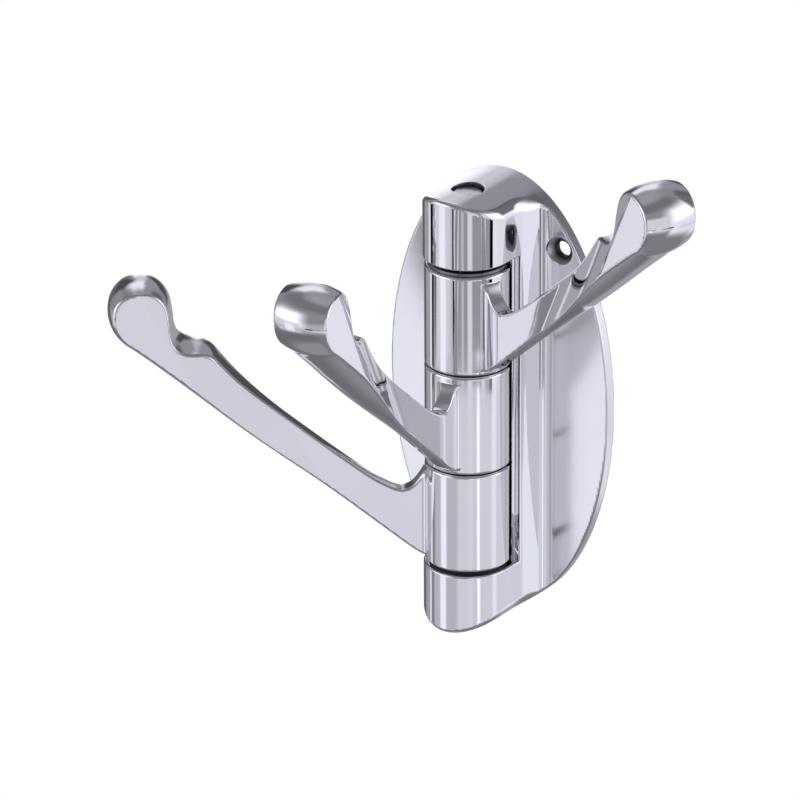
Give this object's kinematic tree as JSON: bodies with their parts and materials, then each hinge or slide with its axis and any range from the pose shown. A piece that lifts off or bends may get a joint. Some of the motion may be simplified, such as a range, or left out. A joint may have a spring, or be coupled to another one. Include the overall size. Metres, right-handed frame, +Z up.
{
  "type": "folding wall hook",
  "caption": "Folding wall hook: an oval wall plate with a vertical pin on which stacked arms with rounded tips swing from side to side.",
  "frame": {"origin": "middle of the oval plate's back face, on the wall", "axes": "+X to the right along the wall, +Y into the wall, +Z up along the pin"},
  "size_m": [0.1254, 0.0825, 0.1135],
  "materials": {
    "chrome_plate": "bright chrome plating on a zinc casting",
    "pin_steel": "turned steel, satin",
    "spring_steel": "dark spring steel, satin",
    "washer_plastic": "dark smooth plastic"
  },
  "bodies": {
    "base": {"wall_base": "chrome_plate", "pivot_pin": "pin_steel", "spring_washer": "spring_steel", "upper_washer": "washer_plastic", "middle_washer": "washer_plastic", "lower_washer": "washer_plastic"},
    "lower_hook": {"lower_arm": "chrome_plate"},
    "middle_hook": {"middle_arm": "chrome_plate"},
    "upper_hook": {"upper_arm": "chrome_plate"}
  },
  "joints": [
    {"name": "lower_swing", "type": "hinge", "parent": "base", "child": "lower_hook", "pos_m": [0, -0.013, -0.0218], "axis": [0, 0, 1], "range_deg": [-36, 144]},
    {"name": "middle_swing", "type": "hinge", "parent": "base", "child": "middle_hook", "pos_m": [0, -0.013, -0.001], "axis": [0, 0, 1], "range_deg": [-97, 83]},
    {"name": "upper_swing", "type": "hinge", "parent": "base", "child": "upper_hook", "pos_m": [0, -0.013, 0.0198], "axis": [0, 0, 1], "range_deg": [-157, 23]}
  ]
}
